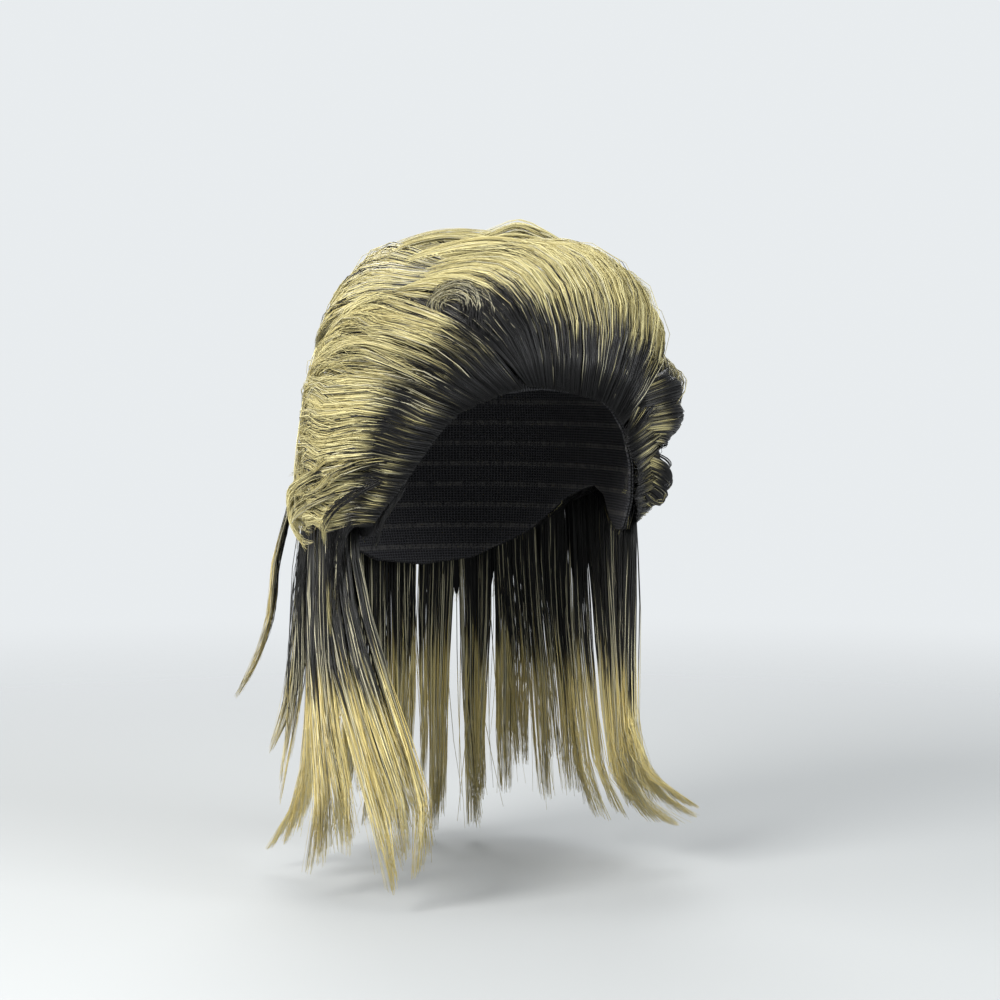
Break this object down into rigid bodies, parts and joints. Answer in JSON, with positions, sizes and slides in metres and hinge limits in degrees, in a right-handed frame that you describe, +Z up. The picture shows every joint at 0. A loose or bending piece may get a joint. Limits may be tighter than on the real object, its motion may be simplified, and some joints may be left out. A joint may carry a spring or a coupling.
{
  "type": "wig",
  "caption": "Two-tone mullet wig: a side-swept quiff, feathered sides and long nape lengths, dark at the roots and blond at the tips, on a hollow cap with an elastic edge.",
  "frame": {"origin": "inside of the cap's crown, where the top of the head sits", "axes": "+Z up, the face towards -Y, the wearer's left at +X"},
  "size_m": [0.2485, 0.2235, 0.3514],
  "materials": {
    "hair": "satin synthetic fibre, near black at the root and blond at the tip",
    "cap_net": "matt black net",
    "edge_elastic": "matt black ribbed elastic"
  },
  "bodies": {
    "root": {"cap": "cap_net", "edge_band": "edge_elastic", "wing_left_1": "hair", "wing_left_2": "hair", "wing_left_3": "hair", "wing_left_4": "hair", "quiff_1": "hair", "quiff_2": "hair", "quiff_3": "hair", "quiff_4": "hair", "quiff_5": "hair", "quiff_6": "hair", "quiff_7": "hair", "quiff_8": "hair", "quiff_9": "hair", "sweep_right_1": "hair", "sweep_right_2": "hair", "sweep_right_3": "hair", "sweep_right_4": "hair", "sweep_right_5": "hair", "sweep_right_6": "hair", "sweep_right_7": "hair", "sweep_right_8": "hair", "crown_1": "hair", "crown_2": "hair", "crown_3": "hair", "crown_4": "hair", "crown_5": "hair", "crown_6": "hair", "crown_7": "hair", "crown_8": "hair", "crown_9": "hair", "back_1": "hair", "back_2": "hair", "back_3": "hair", "back_4": "hair", "back_5": "hair", "back_6": "hair", "back_7": "hair", "back_8": "hair", "nape_1": "hair", "nape_2": "hair", "nape_3": "hair", "nape_4": "hair", "nape_5": "hair", "nape_6": "hair", "nape_7": "hair", "nape_8": "hair", "nape_9": "hair", "nape_10": "hair", "nape_11": "hair", "nape_12": "hair", "nape_13": "hair", "nape_14": "hair", "nape_15": "hair", "nape_16": "hair", "nape_17": "hair", "nape_18": "hair", "stray_1": "hair"}
  },
  "joints": []
}
